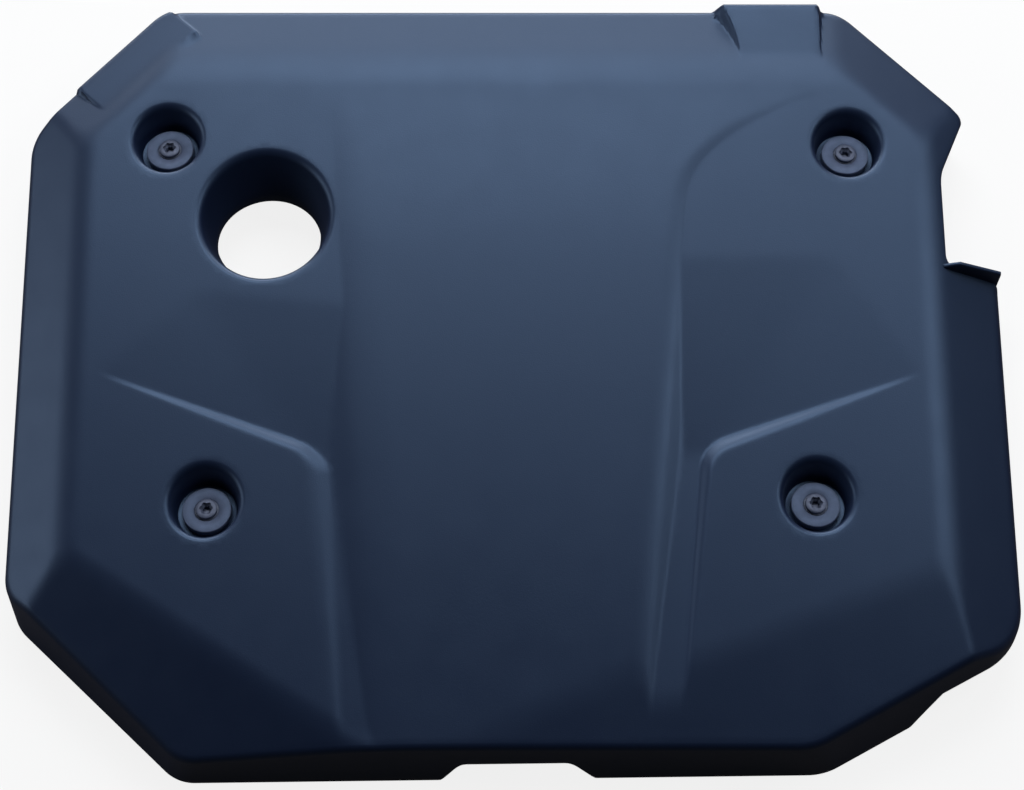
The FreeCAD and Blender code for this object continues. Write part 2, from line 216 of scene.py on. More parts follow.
# Bush, sleeve and screw
BUSH_FLANGE = 12.2
BUSH_NECK = 9.0
FLANGE_HEIGHT = 4.0
FLANGE_EDGE = 0.5
FLANGE_SEAT_EDGE = 0.2
BORE_EDGE = 0.4
BUSH_SIDES = 72
SLEEVE_RADIUS = 6.0
SLEEVE_BORE = 3.4
COLLAR_RADIUS = 8.5
COLLAR_HEIGHT = 1.5
SLEEVE_EDGE = 0.25
SLEEVE_SIDES = 64
HEAD_RADIUS = 5.4
HEAD_HEIGHT = 2.0
HEAD_LIP = 1.3
HEAD_EDGE = 0.2
HEAD_FLAT = 0.3
HEAD_STEPS = 8
SCREW_SIDES = 48
AXIS_RADIUS = 0.01
SHANK_RADIUS = 2.6
THREAD_RADIUS = 3.0
THREAD_PITCH = 1.0
THREAD_STEPS = 8
THREAD_RUN_IN = 6
THREAD_RUN_OUT = 8
TIP_TAPER = 0.4
WAIST_OVERHANG = 1.0
FREE_LENGTH = 17.0
RECESS_RADIUS = 3.3
RECESS_LOBES = 6
RECESS_VALLEY = 0.64
RECESS_FULLNESS = 0.8
RECESS_DEPTH = 4.2
RECESS_WALL = 0.9
RECESS_NECK = 0.65
RECESS_TAPER = 0.9

# Lines that the mesh follows along creases: first and last distance from the crease
LINE_GAP = 1.2
STEP_LINES = (-2.4, 9.7)
SPINE_LINES = (-2.4, 7.3)
CLIFF_LINE_GAP = 0.8
BLOCK_LEFT_LINES = (-4.8, 1.3)
BLOCK_RIGHT_LINES = (-3.2, 1.3)
TAB_LINES = (-1.6, 2.5)
CLIFF_LINE_START = 4.0
BLOCK_LINE_END = 12.0
TAB_LINE_END = 6.0

# Share of the mesh's spacing that loose points keep from rings and lines
POINT_CLEARANCE = 0.6

# Part of a noise's range that most of it lies in
NOISE_RANGE = (0.3, 0.7)

# Floor: how far it reaches, its finish, the share of its shadow that shows, and which rays see it white
FLOOR_REACH = 4.0
FLOOR_ROUGHNESS = 0.9
FLOOR_PAPER = (0.85, 0.85, 0.85, 1.0)
FLOOR_SHADOW = 0.15
FLOOR_RAYS = {"Is Camera Ray": 1.0, "Is Transmission Ray": 1.0, "Is Glossy Ray": 0.02}

# Soft lamps, with their places and sizes in metres
LAMPS = {
    "back": ((-0.05, 0.99, 1.26), (1.3, 0.6)),
    "low": ((-0.15, 1.6, 0.3), (2.0, 0.4)),
    "left": ((-1.5, 0.1, 0.55), (1.2, 0.5)),
    "right": ((0.9, 0.4, 1.05), (0.6, 0.6)),
}
LAMP_TARGET = (0.0, 0.0, 0.0)
LAMP_TINT = (0.93, 0.96, 1.0)

Edge = namedtuple("Edge", "name start end draft radius round")
Column = namedtuple("Column", "base shift inward edge")


class CoverSizes(bpy.types.PropertyGroup):
    """Sizes of the cover's skin that can be set by themselves."""
    wall: bpy.props.FloatProperty(
        name="Wall", description="Thickness of the moulding", default=0.0025, unit="LENGTH")
    edge_round: bpy.props.FloatProperty(
        name="Edge rounding", description="Rounded edge between the top and the skirt", default=0.003,
        unit="LENGTH")
    cut_round: bpy.props.FloatProperty(
        name="Cut rounding", description="Rounded edge along the cut-away", default=0.001, unit="LENGTH")
    mouth_round: bpy.props.FloatProperty(
        name="Mouth rounding", description="Rounded edge of the wells and the filler", default=0.003,
        unit="LENGTH")
    spine_rise: bpy.props.FloatProperty(
        name="Spine rise", description="Height of the spine above the plateau", default=0.0012, unit="LENGTH")
    scoop_depth: bpy.props.FloatProperty(
        name="Scoop depth", description="Depth of the scoops at the pads", default=0.0036, unit="LENGTH")
    step_angle: bpy.props.FloatProperty(
        name="Step angle", description="Slope of the pads' back steps", default=math.radians(27.0),
        subtype="ANGLE")
    skin_spacing: bpy.props.FloatProperty(
        name="Skin spacing", description="Spacing of points on the outside", default=0.0025, unit="LENGTH")
    inside_spacing: bpy.props.FloatProperty(
        name="Inside spacing", description="Spacing of points on the underside", default=0.006, unit="LENGTH")


class CoverFinish(bpy.types.PropertyGroup):
    """Colours and finish of the cover and its fittings."""
    cover_colour: bpy.props.FloatVectorProperty(
        name="Cover", description="Slate blue of the moulding", subtype="COLOR", size=3,
        default=(0.0036, 0.0074, 0.0255))
    cover_shade: bpy.props.FloatVectorProperty(
        name="Cover shade", description="Darker cloud in the moulding", subtype="COLOR", size=3,
        default=(0.0033, 0.0068, 0.0240))
    cover_sheen: bpy.props.FloatVectorProperty(
        name="Cover sheen", description="Tint of the moulding's soft reflections", subtype="COLOR", size=3,
        default=(0.43, 0.65, 1.0))
    cover_roughness: bpy.props.FloatProperty(
        name="Cover roughness", description="Satin of the moulding", default=0.44, min=0.0, max=1.0,
        subtype="FACTOR")
    rubber_colour: bpy.props.FloatVectorProperty(
        name="Rubber", description="Colour of the bushes", subtype="COLOR", size=3,
        default=(0.062, 0.076, 0.122))
    sleeve_colour: bpy.props.FloatVectorProperty(
        name="Sleeve", description="Zinc plating of the sleeves", subtype="COLOR", size=3,
        default=(0.075, 0.09, 0.13))
    screw_colour: bpy.props.FloatVectorProperty(
        name="Screw", description="Dark plating of the screws", subtype="COLOR", size=3,
        default=(0.062, 0.076, 0.122))


class StageSettings(bpy.types.PropertyGroup):
    """Floor, lights and camera."""
    camera_place: bpy.props.FloatVectorProperty(
        name="Camera place", description="Where the camera stands", subtype="TRANSLATION", size=3,
        default=(0.0010, -0.2864, 0.9702))
    camera_target: bpy.props.FloatVectorProperty(
        name="Camera target", description="What the camera looks at", subtype="TRANSLATION", size=3,
        default=(0.0010, -0.0155, 0.0440))
    lens: bpy.props.FloatProperty(
        name="Lens", description="Focal length in millimetres", default=67.85, min=1.0)
    floor_colour: bpy.props.FloatVectorProperty(
        name="Floor", description="Warm shade that the floor throws back on the skirt", subtype="COLOR",
        size=3, default=(0.075, 0.060, 0.055))
    back_light: bpy.props.FloatProperty(
        name="Back light", description="Power of the large soft lamp at the back", default=16.5, unit="POWER")
    low_light: bpy.props.FloatProperty(
        name="Low light", description="Power of the low soft lamp at the back", default=28.0, unit="POWER")
    left_light: bpy.props.FloatProperty(
        name="Left light", description="Power of the low soft lamp on the left", default=6.0, unit="POWER")
    right_light: bpy.props.FloatProperty(
        name="Right light", description="Power of the soft lamp on the right", default=5.6, unit="POWER")
    world_strength: bpy.props.FloatProperty(
        name="World strength", description="Even light from all round", default=0.03, min=0.0)


# Blends and planes


def soft_min(first, second, width):
    """Smaller of two heights, rounded where they are within a width of each other."""
    share = np.clip(0.5 + 0.5 * (second - first) / width, 0.0, 1.0)
    return second * (1 - share) + first * share - width * share * (1 - share)


def soft_max(first, second, width):
    """Larger of two heights, rounded where they are within a width of each other."""
    return -soft_min(-first, -second, width)


def cross(first, second):
    """Turn from one level direction to another, as the sine times both lengths."""
    return first[0] * second[1] - first[1] * second[0]


def plan_point(place, height=PLATEAU):
    """Plan point of a place (x, y) at a height."""
    return np.array((place[0], place[1] - LEAN * height))


def in_space(points):
    """Places in metres of plan points (u, v, z) in millimetres."""
    points = np.asarray(points, dtype=float)
    return np.column_stack((points[:, 0], points[:, 1] + LEAN * points[:, 2], points[:, 2])) * MM


def falling_plane(start, end, slope, inset=0.0):
    """Plane that falls to the right of a line on the plateau, as plan coefficients of its height."""
    along = np.subtract(end, start) / np.linalg.norm(np.subtract(end, start))
    out = np.array((along[1], -along[0]))
    point = np.asarray(start) - out * inset
    normal = out * math.sin(math.radians(slope))
    rise = math.cos(math.radians(slope))
    share = normal[1] * LEAN + rise
    return (normal @ point + rise * PLATEAU) / share, -normal[0] / share, -normal[1] / share


def plane_through(*places):
    """Plane through three places (x, y, z), as plan coefficients of its height."""
    rows = [(1.0, x, y - LEAN * z) for x, y, z in places]
    return tuple(np.linalg.solve(np.array(rows), np.array([place[2] for place in places])))


def height_on(plane, u, v):
    """Height of a plane over plan points."""
    return plane[0] + plane[1] * u + plane[2] * v


# Form of the top


BORDERS = (
    (falling_plane(BACK_LEFT_SIDE, FRONT_LEFT_SIDE, SHOULDER_SLOPE, LEFT_WIDTH), SHOULDER_ROUNDING),
    (falling_plane(FRONT_RIGHT_SIDE, BACK_RIGHT_SIDE, SHOULDER_SLOPE, RIGHT_WIDTH), SHOULDER_ROUNDING),
    (falling_plane(BACK_RIGHT_END, BACK_LEFT_END, BACK_SLOPE, BACK_WIDTH), BACK_ROUNDING),
    (falling_plane(BACK_LEFT_END, BACK_LEFT_SIDE, BEVEL_SLOPE, BEVEL_WIDTH), BEVEL_ROUNDING),
    (falling_plane(BACK_RIGHT_SIDE, BACK_RIGHT_END, BEVEL_SLOPE, BEVEL_WIDTH), BEVEL_ROUNDING),
    (falling_plane(ROLL_LEFT, ROLL_BEND, ROLL_LEFT_SLOPE), ROLL_LEFT_ROUNDING),
    (falling_plane(ROLL_BEND, ROLL_FRONT, ROLL_FRONT_SLOPE), ROLL_FRONT_ROUNDING),
    (falling_plane(*ROLL_RIGHT, ROLL_RIGHT_SLOPE), ROLL_RIGHT_ROUNDING),
)


def spine_edges(y):
    """Reach of the spine's left and right edges along it, and how fast the right one turns outwards."""
    left = SPINE_FRONT[0] + SPINE_WIDENING * (y - SPINE_FRONT[1]) + SPINE_SPREAD
    past = np.maximum(y - SPINE_FLARE_START, 0.0)
    right = left + SPINE_FLARE * past ** SPINE_FLARE_POWER
    turning = SPINE_WIDENING + SPINE_FLARE * SPINE_FLARE_POWER * past ** (SPINE_FLARE_POWER - 1)
    return left, right, turning


def spine_height(u, v, rise):
    """Height of the spine's body, whose edges roll over and go on down beside it."""
    y = v + LEAN * PLATEAU
    left, right, turning = spine_edges(y)
    back = rise * (SPINE_BACK_FADE[1] - y) / (SPINE_BACK_FADE[1] - SPINE_BACK_FADE[0])
    front = rise * (y - SPINE_FRONT_FADE[1]) / (SPINE_FRONT_FADE[0] - SPINE_FRONT_FADE[1])
    top = soft_min(soft_min(back, front, SPINE_END_ROUNDING), np.full_like(u, rise), SPINE_TOP_ROUNDING)
    sides = []
    for side, inside in ((1, (right - u) / np.sqrt(1 + turning ** 2)), (-1, left + u)):
        upper, foot = inside * SPINE_SLOPE[side], inside * SPINE_FOOT_SLOPE[side]
        sides.append(soft_min(upper, foot, SPINE_SIDE_ROUNDING))
    return PLATEAU + soft_min(top, soft_min(*sides, SPINE_SIDE_ROUNDING), SPINE_ROLL)


def pad_frame():
    """Corner arc's centre of the right pad in plan, and the level normals of its back and inner edges."""
    outer, corner, front = [plan_point(place) for place in (PAD_OUTER, PAD_CORNER, PAD_FRONT)]
    normals = []
    for start, end in ((outer, corner), (corner, front)):
        along = (end - start) / np.linalg.norm(end - start)
        normals.append(np.array((along[1], -along[0])))
    back, inner = normals
    centre = corner - (back + inner) * PAD_CORNER_RADIUS / (1 + back @ inner)
    return centre, back, inner


def pad_distance(u, v):
    """Distance outside the right pad's rounded edge, and how far that edge faces the back, from 0 to 1."""
    centre, back, inner = pad_frame()
    away = (u - centre[0], v - centre[1])
    to_back = back[0] * away[0] + back[1] * away[1]
    to_inner = inner[0] * away[0] + inner[1] * away[1]
    round_part = (cross(back, away) > 0) & (cross(away, inner) > 0)
    radius = np.hypot(*away)
    distance = np.where(round_part, radius, np.maximum(to_back, to_inner))
    straight = np.where(to_back > to_inner, back[1], inner[1])
    turned_back = np.where(round_part, away[1] / np.maximum(radius, 1.0), straight)
    facing = np.clip((turned_back - inner[1]) / (back[1] - inner[1]), 0.0, 1.0)
    return distance - PAD_CORNER_RADIUS, facing


def scoop_planes(side, depth):
    """Floor planes of one scoop and its groove, in the plan of the right-hand side."""
    outer_back, inner_back = SCOOP_BACK[side]
    depth = depth * SCOOP_SHARE[side]
    deep = (*PAD_CORNER, PLATEAU - depth)
    valley = plane_through((*outer_back, PLATEAU), (*inner_back, PLATEAU), deep)
    flank = plane_through((*PAD_OUTER, PLATEAU), (*outer_back, PLATEAU), deep)
    beside = (PAD_CORNER[0] - GROOVE_ACROSS, PAD_CORNER[1], PLATEAU - depth)
    groove = plane_through(deep, beside, (*PAD_FRONT, PLATEAU - depth * GROOVE_END))
    return valley, flank, groove


def carved(height, u, v, side, sizes):
    """Height with one scoop and its groove sunk into it."""
    across = u * side
    planes = scoop_planes(side, sizes.scoop_depth / MM)
    valley, flank, groove = [height_on(plane, across, v) for plane in planes]
    floor = soft_max(soft_max(valley, flank, FLOOR_ROUNDING), groove, FLOOR_ROUNDING)
    fade = PLATEAU - (v + LEAN * PLATEAU - GROOVE_FADE[1]) * GROOVE_FADE[0]
    floor = soft_max(floor, fade, FADE_ROUNDING)
    distance, facing = pad_distance(across, v)
    slope = math.tan(INNER_STEP[side])
    step = PLATEAU - distance * (slope + (math.tan(sizes.step_angle) - slope) * facing)
    hollow = soft_max(floor, step, STEP_FOOT_ROUNDING)
    width = np.interp(step - floor, (0.0, STEP_EDGE_DEPTH), STEP_EDGE_ROUNDING)
    return np.where(across > 0, soft_min(height, hollow, width), height)


def block_left(y):
    """Left side of the raised block, which flares towards the back."""
    share = np.clip((y - BLOCK_FRONT_Y) / (BACK_LEFT_END[1] - BLOCK_FRONT_Y), 0.0, BLOCK_FLARE_END)
    return BLOCK_LEFT[1] + (BLOCK_LEFT[0] - BLOCK_LEFT[1]) * share ** 2


def block_height(u, v, inset):
    """Height of the raised block at the back, well below the skin away from it."""
    y = v + LEAN * PLATEAU
    top = PLATEAU - BLOCK_DROP - inset
    left = block_left(y) + inset
    right = BLOCK_RIGHT - inset
    sides = soft_min((u - left) * BLOCK_LEFT_SLOPE, (right - u) * CLIFF_SLOPE, BLOCK_SIDE_ROUNDING)
    sides = np.minimum(sides, (y - BLOCK_FRONT_Y) * CLIFF_SLOPE)
    return top + soft_min(sides, np.zeros_like(u), CLIFF_ROUNDING)


def tab_frame():
    """Middle of the corner tab in plan, with its level directions along and out of the corner wall."""
    along = np.subtract(BACK_LEFT_SIDE, BACK_LEFT_END)
    along = along / np.linalg.norm(along)
    return plan_point(TAB_MIDDLE), along, np.array((along[1], -along[0]))


def tab_height(u, v, inset):
    """Height of the raised tab on the back left corner, well below the skin away from it."""
    middle, along, out = tab_frame()
    beside = np.abs((u - middle[0]) * along[0] + (v - middle[1]) * along[1])
    outside = (u - middle[0]) * out[0] + (v - middle[1]) * out[1]
    ends = (TAB_HALF_LENGTH - inset - beside) * CLIFF_SLOPE
    ends = np.minimum(ends, (outside + TAB_DEPTH) * CLIFF_SLOPE)
    fall = np.maximum(outside + TAB_DEPTH, 0.0) * TAB_FALL
    return PLATEAU - TAB_DROP - inset - fall + soft_min(ends, np.zeros_like(u), CLIFF_ROUNDING)


def skin_height(u, v, sizes, inset=0.0):
    """Height of the cover's outer skin over plan points, with its block and tab drawn in by an inset."""
    u = np.asarray(u, dtype=float)
    v = np.asarray(v, dtype=float)
    height = np.full_like(u, PLATEAU)
    for side in (1, -1):
        height = carved(height, u, v, side, sizes)
    height = soft_max(height, spine_height(u, v, sizes.spine_rise / MM), SPINE_CREASE)
    for plane, width in BORDERS:
        height = soft_min(height, height_on(plane, u, v), width)
    height = soft_max(height, block_height(u, v, inset), CLIFF_FOOT_ROUNDING)
    return soft_max(height, tab_height(u, v, inset), CLIFF_FOOT_ROUNDING)


def ceiling_height(u, v, sizes):
    """Height of the underside below the skin, one wall thickness in."""
    step = 0.5
    wall = sizes.wall / MM
    height = skin_height(u, v, sizes, wall)
    slope_u = (skin_height(u + step, v, sizes, wall) - skin_height(u - step, v, sizes, wall)) / (2 * step)
    slope_v = (skin_height(u, v + step, sizes, wall) - skin_height(u, v - step, sizes, wall)) / (2 * step)
    steep = np.clip(np.hypot(slope_u, slope_v), 0.0, 1.0)
    return height - wall * np.sqrt(1 + steep ** 2)


# Outline and skirt


def outline_edges(sizes):
    """Edges of the outline in plan at rim level: each has the rounding of the corner at its end."""
    full = sizes.edge_round / MM
    cut = sizes.cut_round / MM
    front, back, tip = [plan_point(place) for place in (CUT_FRONT, CUT_BACK, CUT_TIP)]
    lip = np.array((BACK_RIGHT_SIDE[0], front[1]))
    return (
        Edge("back_left", BACK_LEFT_END, BACK_LEFT_SIDE, SKIRT_DRAFT, CORNER_RADIUS, full),
        Edge("left", BACK_LEFT_SIDE, FRONT_LEFT_SIDE, SKIRT_DRAFT, CORNER_RADIUS, full),
        Edge("front_left", FRONT_LEFT_SIDE, FRONT_LEFT_END, FRONT_CORNER_DRAFT, CORNER_RADIUS, full),
        Edge("front", FRONT_LEFT_END, FRONT_RIGHT_END, SKIRT_DRAFT, FRONT_RIGHT_RADIUS, full),
        Edge("front_right", FRONT_RIGHT_END, FRONT_RIGHT_SIDE, FRONT_CORNER_DRAFT, FRONT_RIGHT_RADIUS, full),
        Edge("right", FRONT_RIGHT_SIDE, lip, SKIRT_DRAFT, CUT_LIP_RADIUS, full),
        Edge("end_wall", lip, front, 0.0, CUT_CORNER_RADIUS, cut),
        Edge("cut", front, back, 0.0, CUT_BEND_RADIUS, cut),
        Edge("cut_back", back, tip, 0.0, CUT_CORNER_RADIUS, cut),
        Edge("back_right", BACK_RIGHT_SIDE, BACK_RIGHT_END, SKIRT_DRAFT, CORNER_RADIUS, full),
        Edge("back", BACK_RIGHT_END, BACK_LEFT_END, SKIRT_DRAFT, CORNER_RADIUS, full),
    )


def corner_places(edges, height):
    """Corners of the outline in plan at a height, each at the end of its edge, and each edge's direction."""
    lines = []
    for edge in edges:
        along = np.subtract(edge.end, edge.start)
        along = along / np.linalg.norm(along)
        inward = np.array((-along[1], along[0]))
        shift = height * math.tan(math.radians(edge.draft)) / COSINE
        lines.append((np.asarray(edge.start) + inward * shift, along))
    corners = []
    for (point, along), (other, beyond) in zip(lines, lines[1:] + lines[:1]):
        corners.append(point + along * cross(other - point, beyond) / cross(along, beyond))
    return corners, [along for point, along in lines]


def outline_points(edges, height, spacing):
    """Points of the outline in plan at a height, spaced as they are at the rim, and each point's edge."""
    rim_corners = corner_places(edges, 0.0)[0]
    corners, along = corner_places(edges, height)
    turns = []
    for first, second in zip(along, along[1:] + along[:1]):
        turns.append(math.atan2(cross(first, second), first @ second))
    trims = [edge.radius * math.tan(abs(turn) / 2) for edge, turn in zip(edges, turns)]
    points, owners = [], []
    for index, edge in enumerate(edges):
        rim_length = np.linalg.norm(rim_corners[index] - rim_corners[index - 1])
        count = max(3, round((rim_length - trims[index] - trims[index - 1]) / spacing))
        start = corners[index - 1] + along[index] * trims[index - 1]
        end = corners[index] - along[index] * trims[index]
        points += [start + (end - start) * step / count for step in range(count)]
        owners += [index] * count
        turn = turns[index]
        side = math.copysign(1.0, turn)
        centre = end + np.array((-along[index][1], along[index][0])) * edge.radius * side
        steps = max(6, round(edge.radius * abs(turn) / spacing))
        for step in range(steps):
            angle = turn * step / steps
            spoke = end - centre
            points.append(centre + np.array((
                spoke[0] * math.cos(angle) - spoke[1] * math.sin(angle),
                spoke[0] * math.sin(angle) + spoke[1] * math.cos(angle))))
            owners.append(index if step * 2 < steps else (index + 1) % len(edges))
    return np.array(points), np.array(owners)


def outline_columns(edges, spacing):
    """Upright columns round the outline: rim point, shift for each unit of height, inward direction, edge."""
    base, owners = outline_points(edges, 0.0, spacing)
    top = outline_points(edges, PLATEAU, spacing)[0]
    along = np.roll(base, -1, axis=0) - np.roll(base, 1, axis=0)
    along = along / np.linalg.norm(along, axis=1)[:, None]
    inward = np.column_stack((-along[:, 1], along[:, 0]))
    return Column(base, (top - base) / PLATEAU, inward, owners)


def rim_height(columns, edges):
    """Height of the skirt's lower edge at each column, with the notch and the lifted corner."""
    names = np.array([edge.name for edge in edges])[columns.edge]
    across = np.abs(columns.base[:, 0] - NOTCH_MIDDLE)
    side = (NOTCH_HALF_BOTTOM - across) * NOTCH_HEIGHT / (NOTCH_HALF_BOTTOM - NOTCH_HALF_TOP)
    notch = soft_min(side, np.full_like(side, NOTCH_HEIGHT), NOTCH_ROUNDING)
    notch = soft_max(notch, np.zeros_like(side), NOTCH_FOOT_ROUNDING)
    along = np.subtract(FRONT_RIGHT_SIDE, FRONT_RIGHT_END)
    distance = (columns.base - FRONT_RIGHT_END) @ along / np.linalg.norm(along)
    lift = np.interp(distance, *zip(*LIFT_PROFILE))
    height = np.where(names == "front", notch, 0.0)
    return np.where((names == "front_right") | (names == "right"), lift, height)


def smoothed(values, reach):
    """Values round a closed ring, each averaged with its neighbours."""
    return sum(np.roll(values, step) for step in range(-reach, reach + 1)) / (2 * reach + 1)


def skirt_rings(sizes):
    """Closed rings from the edge of the top, over its rounding and down the skirt, to the underside."""
    edges = outline_edges(sizes)
    columns = outline_columns(edges, RIM_SPACING)
    wall = sizes.wall / MM
    radius = smoothed(np.array([edge.round for edge in edges])[columns.edge], ROUNDING_BLEND)
    open_edge = np.array([edge.name in OPEN_EDGES for edge in edges])[columns.edge]

    def at(height, inset):
        plan = columns.base + columns.shift * height[:, None] + columns.inward * np.reshape(inset, (-1, 1))
        return plan[:, 0], plan[:, 1]

    rings = []
    height = np.full(len(radius), PLATEAU)
    for angle in np.linspace(0.0, math.pi / 2, ROUNDING_STEPS):
        inset = radius * (1 - math.sin(angle))
        for repeat in range(3):
            u, v = at(height, inset)
            height = skin_height(u, v, sizes) - radius * (1 - math.cos(angle))
        rings.append(np.column_stack((u, v, height)))
    edge_height = height
    u, v = at(edge_height, wall)
    ceiling = ceiling_height(u, v, sizes)
    low = np.where(open_edge, ceiling, rim_height(columns, edges))
    bead = np.where(open_edge, CUT_BEAD, RIM_BEAD)
    for share in np.linspace(1 / SKIRT_STEPS, 1.0, SKIRT_STEPS):
        height = edge_height + (low + bead - edge_height) * share
        rings.append(np.column_stack((*at(height, np.zeros_like(height)), height)))
    for inset, rise in BEAD_PROFILE:
        height = low + bead * rise
        rings.append(np.column_stack((*at(height, bead * inset), height)))
    for inset, rise in reversed(BEAD_PROFILE):
        height = low + bead * rise
        rings.append(np.column_stack((*at(height, wall - bead * inset), height)))
    for share in np.linspace(0.0, 1.0, 5):
        height = low + bead
        height = height + (np.maximum(ceiling, low + bead) - height) * share
        rings.append(np.column_stack((*at(height, np.full(len(height), wall)), height)))
    return rings


# Wells and filler opening


def axis_ring(place, angles, radius, depth):
    """Ring square to the draw axis at a depth below the plateau."""
    middle = plan_point(place)
    u = middle[0] + radius * np.cos(angles)
    v = middle[1] + radius * np.sin(angles) / COSINE
    return np.column_stack((u, v, PLATEAU - COSINE * depth - SINE * radius * np.sin(angles)))


def mouth_rings(place, rim, flare, inside, outside, sizes):
    """Closed rings from the top into a round opening, out below it and back up to the underside."""
    angles = np.linspace(0.0, 2 * math.pi, MOUTH_SIDES, endpoint=False)
    middle = plan_point(place)
    level = rim / (1 - flare * LEAN * np.sin(angles))
    curve = sizes.mouth_round / MM
    wall = sizes.wall / MM

    def on_top(radius):
        return middle[0] + radius * np.cos(angles), middle[1] + radius * np.sin(angles) / COSINE

    rings = []
    for angle in np.linspace(0.0, math.pi / 2, ROUNDING_STEPS):
        u, v = on_top(level - flare * curve + curve * (1 - math.sin(angle)) + curve * flare * math.cos(angle))
        rings.append(np.column_stack((u, v, skin_height(u, v, sizes) - curve * (1 - math.cos(angle)))))
    first = axis_ring(place, angles, *inside[0])
    edge = rings[-1]
    rings += [edge + (first - edge) * share for share in (0.2, 0.4, 0.6, 0.8)]
    rings += [axis_ring(place, angles, radius, depth) for radius, depth in inside + outside]
    u, v = on_top(level + wall)
    ceiling = np.column_stack((u, v, ceiling_height(u, v, sizes)))
    last = rings[-1]
    rings += [last + (ceiling - last) * share for share in (0.33, 0.67, 1.0)]
    return rings


def opening_rings(sizes):
    """Rings of the four wells and the filler opening."""
    wall = sizes.wall / MM
    bottom = WELL_DEPTH + wall
    well_inside = [
        (WELL_FLOOR, WELL_DEPTH - FLOOR_EDGE), (WELL_FLOOR - NECK_EDGE, WELL_DEPTH - NECK_EDGE),
        (WELL_FLOOR - FLOOR_EDGE, WELL_DEPTH), (BUSH_NECK + NECK_EDGE, WELL_DEPTH),
        (BUSH_NECK, WELL_DEPTH + NECK_EDGE),
    ]
    well_outside = [
        (BUSH_NECK, bottom - NECK_EDGE), (BUSH_NECK + NECK_EDGE, bottom),
        (WELL_FLOOR + wall - MOULD_EDGE, bottom), (WELL_FLOOR + wall, bottom - MOULD_EDGE),
    ]
    lip = FILLER_CONE + FILLER_LIP
    filler_inside = [
        (FILLER_THROAT + THROAT_EASE, FILLER_CONE - THROAT_EASE_ABOVE),
        (FILLER_THROAT, FILLER_CONE + THROAT_EASE_BELOW), (FILLER_THROAT, lip - MOULD_EDGE),
    ]
    outer = FILLER_THROAT + wall
    filler_outside = [
        (FILLER_THROAT + MOULD_EDGE, lip), (outer - MOULD_EDGE, lip), (outer, lip - MOULD_EDGE),
        (outer, FILLER_CONE),
    ]
    flare = (WELL_RIM - WELL_FLOOR) / WELL_DEPTH
    openings = []
    for name in WELLS:
        openings.append(mouth_rings(WELL_PLACES[name], WELL_RIM, flare, well_inside, well_outside, sizes))
    flare = (FILLER_RIM - FILLER_THROAT) / FILLER_CONE
    openings.append(mouth_rings(FILLER_PLACE, FILLER_RIM, flare, filler_inside, filler_outside, sizes))
    return openings


# Sheets between the rings


def inside_ring(points, ring):
    """Whether each plan point lies inside a closed ring."""
    u, v = points[:, 0], points[:, 1]
    inside = np.zeros(len(points), dtype=bool)
    for start, end in zip(ring, np.roll(ring, -1, axis=0)):
        if start[1] == end[1]:
            continue
        spans = (start[1] > v) != (end[1] > v)
        inside ^= spans & (u < start[0] + (v - start[1]) * (end[0] - start[0]) / (end[1] - start[1]))
    return inside


def lattice(boundary, spacing):
    """Even three-way lattice of plan points over a boundary's box."""
    low, high = boundary.min(axis=0), boundary.max(axis=0)
    rows = np.arange(low[1], high[1], spacing * math.sqrt(0.75))
    points = []
    for index, v in enumerate(rows):
        u = np.arange(low[0] + (index % 2) * spacing / 2, high[0], spacing)
        points.append(np.column_stack((u, np.full(len(u), v))))
    return np.concatenate(points)


def step_lines(spacing):
    """Lines that run along the steps of both pads, so that the mesh follows them."""
    centre, back, inner = pad_frame()
    outer, front = plan_point(PAD_OUTER), plan_point(PAD_FRONT)
    turn = math.atan2(cross(back, inner), back @ inner)
    lines = []
    for offset in np.arange(*STEP_LINES, LINE_GAP):
        radius = PAD_CORNER_RADIUS + offset
        corner = [centre + radius * (back * math.cos(angle) + np.array((-back[1], back[0])) * math.sin(angle))
                  for angle in np.linspace(0.0, turn, 8)]
        start = outer + back * offset
        end = front + inner * offset
        line = []
        for first, last in ((start, corner[0]), (corner[-1], end)):
            count = round(np.linalg.norm(last - first) / spacing)
            run = [first + (last - first) * step / count for step in range(count + 1)]
            line += run if not line else corner[1:-1] + run
        line = np.array(line)
        lines += [line, line * (-1.0, 1.0)]
    return lines


def spine_lines(spacing):
    """Lines that run along both edges of the spine, so that the mesh follows them."""
    y = np.arange(SPINE_FRONT_FADE[1], SPINE_BACK_FADE[1], spacing)
    left, right, turning = spine_edges(y)
    out = np.column_stack((np.ones_like(y), -turning)) / np.sqrt(1 + turning ** 2)[:, None]
    lines = []
    for offset in np.arange(*SPINE_LINES, LINE_GAP):
        lines.append(np.column_stack((right, y - LEAN * PLATEAU)) + out * offset)
        lines.append(np.column_stack((-left - offset, y - LEAN * PLATEAU)))
    return lines


def cliff_lines(spacing):
    """Lines that run along the sides of the raised block and the ends of the corner tab."""
    lines = []
    y = np.arange(BLOCK_FRONT_Y - CLIFF_LINE_START, BACK_LEFT_END[1] + BLOCK_LINE_END, spacing)
    v = y - LEAN * PLATEAU
    for offset in np.arange(*BLOCK_LEFT_LINES, CLIFF_LINE_GAP):
        lines.append(np.column_stack((block_left(y) + offset, v)))
    for offset in np.arange(*BLOCK_RIGHT_LINES, CLIFF_LINE_GAP):
        lines.append(np.column_stack((np.full(len(v), BLOCK_RIGHT - offset), v)))
    middle, along, out = tab_frame()
    reach = np.arange(-TAB_DEPTH - CLIFF_LINE_START, TAB_LINE_END, spacing)
    for offset in np.arange(*TAB_LINES, CLIFF_LINE_GAP):
        for side in (1, -1):
            lines.append(middle + along * side * (TAB_HALF_LENGTH + offset) + out * reach[:, None])
    return lines


